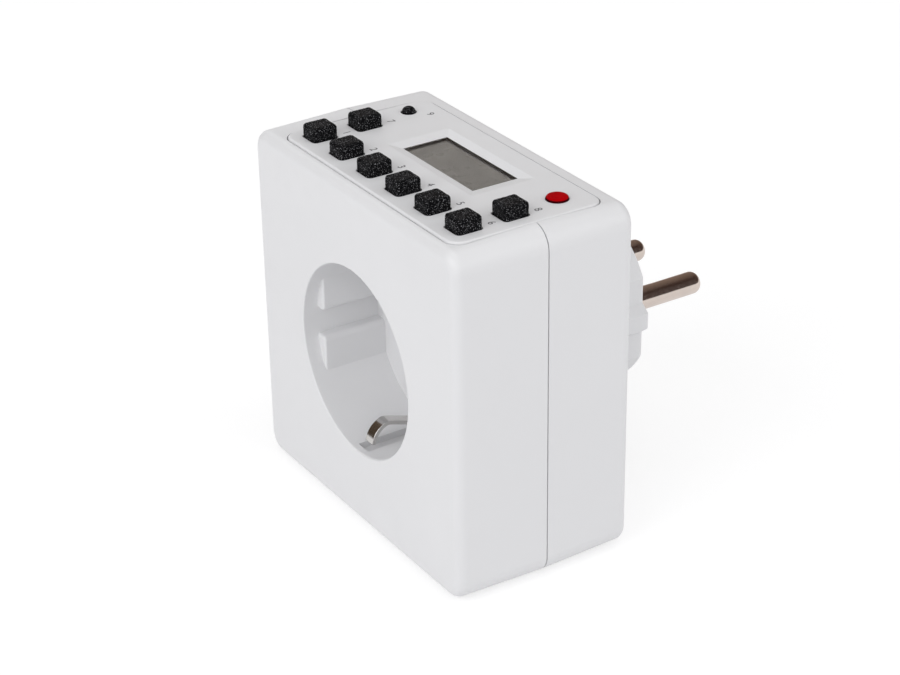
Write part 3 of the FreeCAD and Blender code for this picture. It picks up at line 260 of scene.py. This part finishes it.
studio = {"floorSize": 6.0, "floorColor": (0.85, 0.85, 0.86), "floorGlow": 0.62, "floorShade": 0.46,
          "floorRoughness": 0.9, "skyColor": (0.99, 0.99, 1.0), "skyStrength": 0.545}
lamps = {
    "frontLamp": {"place": (0.2, -1.15, 0.7), "size": 0.9, "power": 5.6},
    "sideLamp": {"place": (0.95, -0.75, 0.5), "size": 0.9, "power": 2.0},
    "topLamp": {"place": (0.1, 0.1, 1.3), "size": 0.9, "power": 1.8},
    "rearLamp": {"place": (0.9, 0.9, 0.6), "size": 0.9, "power": 3.8},
}
cards = {
    "cardByPlug": {"place": (-0.1, 0.55, 0.525), "size": (2.2, 0.95), "faces": (-0.1, 0.0, 0.525),
                   "pale": (0.42, 0.32, 0.26), "dark": (0.045, 0.018, 0.010), "from": -0.9, "to": 0.3},
    "cardBySocket": {"place": (-0.374, -0.281, 0.206), "size": (0.45, 0.486), "faces": (0.0, -0.054, 0.206),
                     "pale": (0.18, 0.125, 0.08), "dark": (0.05, 0.035, 0.025), "from": -0.5, "to": -0.25},
}


def seenBy(tree, *names):
    # One where a ray of any of the named kinds looks, none elsewhere
    path = node(tree, "LightPath")
    share = path.outputs[names[0]]
    for name in names[1:]:
        share = arithmetic(tree, "MAXIMUM", share, path.outputs[name])
    return share


def makeSky():
    world = bpy.data.worlds.new("studio")
    bpy.context.scene.world = world
    world.use_nodes = True
    tree = world.node_tree
    lit = tree.nodes["Background"]
    lit.inputs["Color"].default_value = (*studio["skyColor"], 1)
    lit.inputs["Strength"].default_value = studio["skyStrength"]
    plain = node(tree, "Background")
    plain.inputs["Color"].default_value = (1, 1, 1, 1)
    mix = node(tree, "MixShader")
    tree.links.new(seenBy(tree, "Is Camera Ray", "Is Glossy Ray", "Is Transmission Ray"), mix.inputs[0])
    tree.links.new(lit.outputs[0], mix.inputs[1])
    tree.links.new(plain.outputs[0], mix.inputs[2])
    tree.links.new(mix.outputs[0], tree.nodes["World Output"].inputs["Surface"])


def makeFloor():
    shape = bmesh.new()
    bmesh.ops.create_grid(shape, x_segments=1, y_segments=1, size=studio["floorSize"] / 2)
    bmesh.ops.translate(shape, verts=shape.verts, vec=(0, 0, cadBox[0].z))
    mesh = bpy.data.meshes.new("floor")
    shape.to_mesh(mesh)
    shape.free()
    floor = bpy.data.objects.new("floor", mesh)
    bpy.context.collection.objects.link(floor)
    material = bpy.data.materials.new("floor")
    material.use_nodes = True
    tree = material.node_tree
    shader = tree.nodes["Principled BSDF"]
    shader.inputs["Roughness"].default_value = studio["floorRoughness"]
    seen = seenBy(tree, "Is Camera Ray", "Is Glossy Ray", "Is Transmission Ray")
    shade = (studio["floorShade"],) * 3
    tree.links.new(blendColor(tree, seen, studio["floorColor"], shade), shader.inputs["Base Color"])
    shader.inputs["Emission Color"].default_value = (1, 1, 1, 1)
    glow = arithmetic(tree, "MULTIPLY", seen, studio["floorGlow"])
    tree.links.new(glow, shader.inputs["Emission Strength"])
    mesh.materials.append(material)


def makeLamps():
    for name, lamp in lamps.items():
        light = bpy.data.lights.new(name, "AREA")
        light.size = lamp["size"]
        light.energy = lamp["power"]
        holder = bpy.data.objects.new(name, light)
        bpy.context.collection.objects.link(holder)
        holder.location = lamp["place"]
        holder.rotation_euler = (-Vector(lamp["place"])).to_track_quat("-Z", "Y").to_euler()


def makeCardFinish(name, card):
    # Pale on the left, dark on the right
    material = bpy.data.materials.new(name)
    material.use_nodes = True
    tree = material.node_tree
    shader = tree.nodes["Principled BSDF"]
    shader.inputs["Specular IOR Level"].default_value = 0
    axes = node(tree, "SeparateXYZ")
    tree.links.new(node(tree, "TexCoord").outputs["Object"], axes.inputs[0])
    share = stretch(tree, axes.outputs["X"], card["from"], card["to"], 0, 1)
    tree.links.new(blendColor(tree, share, card["pale"], card["dark"]), shader.inputs["Base Color"])
    return material


def makeCards():
    # Only the metal's reflections see them
    for name, card in cards.items():
        shape = bmesh.new()
        bmesh.ops.create_grid(shape, x_segments=1, y_segments=1, size=0.5)
        bmesh.ops.scale(shape, verts=shape.verts, vec=(*card["size"], 1))
        turn = (Vector(card["faces"]) - Vector(card["place"])).to_track_quat("Z", "Y").to_matrix()
        place = Matrix.Translation(card["place"]) @ turn.to_4x4()
        bmesh.ops.transform(shape, verts=shape.verts, matrix=place)
        mesh = bpy.data.meshes.new(name)
        shape.to_mesh(mesh)
        shape.free()
        mesh.materials.append(makeCardFinish(name, card))
        flag = bpy.data.objects.new(name, mesh)
        bpy.context.collection.objects.link(flag)
        for kind in ("camera", "diffuse", "transmission", "shadow"):
            setattr(flag, "visible_" + kind, False)


makeSky()
makeFloor()
makeLamps()
makeCards()
print("studio made")


# Key caps with a spark-eroded skin

keyCap = {"width": 0.0049, "depth": 0.0054, "corner": 0.0007, "cornerSteps": 6, "flangeTop": 0.0345,
          "flange": 0.0008, "flangeEdge": 0.00075, "stem": 0.0012, "stemSides": 32, "cutAbove": 0.001,
          "cuts": 24, "grain": 5200, "roughness": 0.00007, "skin": 0.00009, "finer": 2.3,
          "fineShare": 0.6, "sharpAbove": 60}
keyNames = ["clock", "timer", "week", "hour", "minute", "recall", "manual", "random"]


def addBlock(shape, place, size):
    made = bmesh.ops.create_cube(shape, size=1)["verts"]
    bmesh.ops.scale(shape, verts=made, vec=size)
    bmesh.ops.translate(shape, verts=made, vec=place)
    return made


def makeKeyCap(name):
    centre, low, high = middle(name + "_button")
    shape = bmesh.new()
    height = high.z - keyCap["skin"] - keyCap["flangeTop"]
    addBlock(shape, (centre.x, centre.y, keyCap["flangeTop"] + height / 2),
             (keyCap["width"], keyCap["depth"], height))
    cornered = [e for e in shape.edges if max(v.co.z for v in e.verts) > keyCap["flangeTop"] + height / 2]
    bmesh.ops.bevel(shape, geom=cornered, offset=keyCap["corner"], offset_type="OFFSET",
                    segments=keyCap["cornerSteps"], affect="EDGES", profile=0.5, material=-1)
    long = [e for e in shape.edges if e.calc_length() > keyCap["cutAbove"]]
    bmesh.ops.subdivide_edges(shape, edges=long, cuts=keyCap["cuts"], use_grid_fill=True)
    shape.normal_update()
    for vertex in shape.verts:
        coarse = noise.noise(vertex.co * keyCap["grain"])
        fine = noise.noise(vertex.co * keyCap["grain"] * keyCap["finer"])
        vertex.co += vertex.normal * keyCap["roughness"] * (coarse + keyCap["fineShare"] * fine)
    edge = 2 * keyCap["flangeEdge"]
    addBlock(shape, (centre.x, centre.y, keyCap["flangeTop"] - keyCap["flange"] / 2),
             (keyCap["width"] + edge, keyCap["depth"] + edge, keyCap["flange"]))
    stemTop = keyCap["flangeTop"] - keyCap["flange"]
    bmesh.ops.create_cone(shape, cap_ends=True, segments=keyCap["stemSides"], radius1=keyCap["stem"],
                          radius2=keyCap["stem"], depth=stemTop - low.z,
                          matrix=Matrix.Translation((centre.x, centre.y, (stemTop + low.z) / 2)))
    piece = keepPiece(name + "Cap", shape, "keyBlack", name + "_key", keyCap["sharpAbove"])
    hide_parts(name + "_button")


for name in keyNames:
    makeKeyCap(name)
print("key caps made")


# Plain numbers beside the keys

numbers = {"size": 0.0023, "thickness": 0.000012, "aside": 0.0012, "behindKey": 0.0019,
           "resetAside": 0.0034, "resetBehind": 0.0023}


def addNumber(shape, text, x, y, top):
    curve = bpy.data.curves.new(text, "FONT")
    curve.body = text
    curve.size = numbers["size"]
    curve.align_x = "CENTER"
    curve.extrude = numbers["thickness"]
    holder = bpy.data.objects.new(text, curve)
    mesh = bpy.data.meshes.new_from_object(holder)
    mesh.transform(Matrix.Translation((x, y, top)))
    shape.from_mesh(mesh)
    bpy.data.objects.remove(holder)
    bpy.data.curves.remove(curve)
    bpy.data.meshes.remove(mesh)


def makeNumbers():
    shape = bmesh.new()
    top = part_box("control_panel")[1].z
    for count, name in enumerate(keyNames):
        centre = middle(name + "_button")[0]
        back = centre.y + keyCap["depth"] / 2 + numbers["behindKey"]
        addNumber(shape, str(count + 1), centre.x + numbers["aside"], back, top)
    centre = middle("reset_button")[0]
    addNumber(shape, "9", centre.x + numbers["resetAside"], centre.y + numbers["resetBehind"], top)
    keepPiece("panelNumbers", shape, "inkGrey", "root")


makeNumbers()
print("numbers made")


# Earth strip: one bent strap with a curled clip at each end; points are (y, z) from one clip to the middle

strap = {"width": 0.0026, "thickness": 0.0009, "edge": 0.00014, "edgeSteps": 3, "edgeAngle": 50,
         "smoothness": 10,
         "line": [(-0.05554, 0.01915), (-0.05537, 0.01863), (-0.05514, 0.01798), (-0.05482, 0.01733),
                  (-0.05435, 0.01668), (-0.0538, 0.01618), (-0.05317, 0.01573), (-0.0523, 0.01532),
                  (-0.05155, 0.0153), (-0.0501, 0.01576), (-0.0460, 0.0171), (-0.0443, 0.0176),
                  (-0.0426, 0.0176), (-0.0366, 0.0176), (-0.03475, 0.0176), (-0.03475, 0.0158)]}


def makeStrap():
    half = strap["line"]
    line = half + [(y, -z) for y, z in reversed(half)]
    curve = bpy.data.curves.new("strap", "CURVE")
    curve.dimensions = "2D"
    spline = curve.splines.new("NURBS")
    spline.points.add(len(line) - 1)
    for point, (y, z) in zip(spline.points, line):
        point.co = (y, z, 0, 1)
    spline.order_u = 3
    spline.use_endpoint_u = True
    spline.resolution_u = strap["smoothness"]
    curve.extrude = strap["width"] / 2
    holder = bpy.data.objects.new("strap", curve)
    mesh = bpy.data.meshes.new_from_object(holder)
    # The curve's own plane becomes the plane of Y and Z
    mesh.transform(Matrix(((0, 0, 1, 0), (1, 0, 0, 0), (0, 1, 0, 0), (0, 0, 0, 1))))
    bpy.data.objects.remove(holder)
    bpy.data.curves.remove(curve)
    piece = keepMesh("earthStrip", mesh, "clipNickel", "root")
    solid = piece.modifiers.new("thickness", "SOLIDIFY")
    solid.thickness = strap["thickness"]
    solid.offset = 0
    solid.use_even_offset = True
    edge = piece.modifiers.new("edge", "BEVEL")
    edge.width = strap["edge"]
    edge.segments = strap["edgeSteps"]
    edge.limit_method = "ANGLE"
    edge.angle_limit = math.radians(strap["edgeAngle"])
    edge.harden_normals = True
    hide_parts("earth_strap")


makeStrap()
print("earth strip made")


# Lamp: a low round rod through the panel, with painted shade on its rounded edge and its wall

lampLens = {"radius": 0.0022, "edge": 0.0005, "edgeSteps": 6, "crown": 0.0001, "flange": 0.0026,
            "flangeTop": 0.0307, "flangeHeight": 0.001, "legs": 0.0005, "apart": 0.00254,
            "shadeFromShare": 0.97, "steps": 64}


def makeLamp():
    centre, low, high = middle("power_lamp")
    base = lampLens["flangeTop"] - lampLens["flangeHeight"]
    edge, flat = lampLens["edge"], lampLens["radius"] - lampLens["edge"]
    shape = bmesh.new()
    line = [(0, high.z)]
    for step in range(lampLens["edgeSteps"] + 1):
        turn = math.radians(90 * step / lampLens["edgeSteps"])
        drop = lampLens["crown"] + edge * (1 - math.cos(turn))
        line.append((flat + edge * math.sin(turn), high.z - drop))
    line += [(lampLens["radius"], lampLens["flangeTop"]), (lampLens["flange"], lampLens["flangeTop"]),
             (lampLens["flange"], base), (0, base)]
    points = [shape.verts.new((centre.x + r, centre.y, z)) for r, z in line]
    edges = [shape.edges.new(pair) for pair in zip(points, points[1:])]
    bmesh.ops.spin(shape, geom=points + edges, cent=centre, axis=(0, 0, 1), angle=2 * math.pi,
                   steps=lampLens["steps"], use_merge=True)
    bmesh.ops.remove_doubles(shape, verts=shape.verts, dist=mergeWithin)
    # Faces beyond this share of the radius get the painted shade
    for face in shape.faces:
        if (face.calc_center_median().xy - centre.xy).length > lampLens["radius"] * lampLens["shadeFromShare"]:
            face.material_index = 1
    for side in (-1, 1):
        addBlock(shape, (centre.x + side * lampLens["apart"] / 2, centre.y, (low.z + base) / 2),
                 (lampLens["legs"], lampLens["legs"], base - low.z))
    piece = keepPiece("lampLens", shape, "lampRed", "root")
    piece.data.materials.append(materials["lampShadedEdge"])
    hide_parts("power_lamp")


makeLamp()
print("lamp made")


# Display: two glass plates, the lower one standing out at its contact edge, under a film and a lens
# whose sides are ground

display = {"plate": 0.0012, "ledge": 0.0006, "film": 0.0002, "filmInset": 0.00145, "edge": 0.00008,
           "edgeSteps": 2, "sharpAbove": 20, "groundBelow": 0.3}


def addPlate(shape, low, high):
    made = addBlock(shape, (low + high) / 2, high - low)
    bmesh.ops.bevel(shape, geom=list({e for v in made for e in v.link_edges}), offset=display["edge"],
                    offset_type="OFFSET", segments=display["edgeSteps"], affect="EDGES", profile=0.5,
                    material=-1)


def makeDisplay():
    low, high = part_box("display_glass")
    split = low.z + display["plate"]
    top = high.z - display["film"]
    crease = display["sharpAbove"]
    plates = bmesh.new()
    addPlate(plates, low, Vector((high.x, high.y, split)))
    addPlate(plates, Vector((low.x, low.y + display["ledge"], split)), Vector((high.x, high.y, top)))
    # The plates show as a darker border round the inset film: partly the glass's own tone, partly painted
    # shade
    glass = keepPiece("displayGlass", plates, "displayEdgeShade", "root", crease)
    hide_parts("display_glass")
    film = bmesh.new()
    inset = display["filmInset"]
    nearCorner = Vector((low.x + inset, low.y + inset, top))
    addPlate(film, nearCorner, Vector((high.x - inset, high.y - inset, high.z)))
    keepPiece("displayFilm", film, "displayGrey", "root", crease)


def makeLens():
    lens = bmesh.new()
    addPlate(lens, *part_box("display_lens"))
    for face in lens.faces:
        if abs(face.normal.z) < display["groundBelow"]:
            face.material_index = 1
    piece = keepPiece("displayLens", lens, "lensClear", "root", display["sharpAbove"])
    piece.data.materials.append(materials["lensEdge"])
    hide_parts("display_lens")


makeDisplay()
makeLens()
print("display made")


# Finishes of the parts that stay as they come

wornBy = {
    "housingWhite": ["front_shell", "rear_shell", "plug_body"],
    "panelWhite": ["control_panel"],
    "keyBlack": ["reset_button"],
    "nickel": ["line_pin", "neutral_pin", "upper_earth_contact", "lower_earth_contact"],
    "brass": ["line_contact", "neutral_contact", "line_busbar", "neutral_busbar"],
    "steel": ["housing_screws", "display_board_screws", "power_board_screws", "shutter_spring",
              "quartz_crystal", "backup_battery"],
    "greyPlastic": ["contact_carrier", "shutter", "display_frame"],
    "rubber": ["display_connector"],
    "boardGreen": ["display_board", "power_board"],
    "relayBlue": ["relay"],
    "filmYellow": ["film_capacitor"],
    "sleeveBlack": ["electrolytic_capacitors"],
    "coatOchre": ["varistor"],
    "coatBeige": ["dropper_resistor"],
    "cableGrey": ["board_cable"],
    "blackPlastic": ["controller_chip", "rectifier_diodes", "key_switches"],
    "whitePlastic": ["cable_headers", "thermal_fuse"],
}
wears = {name: finish for finish, names in wornBy.items() for name in names}
for name, piece in nodes.items():
    finish = wears.get(name, "greyPlastic" if name.endswith("_plunger") else "keyBlack")
    for slot in piece.material_slots:
        slot.material = materials[finish]
print("parts finished")

bpy.context.scene.view_settings.view_transform = "Standard"
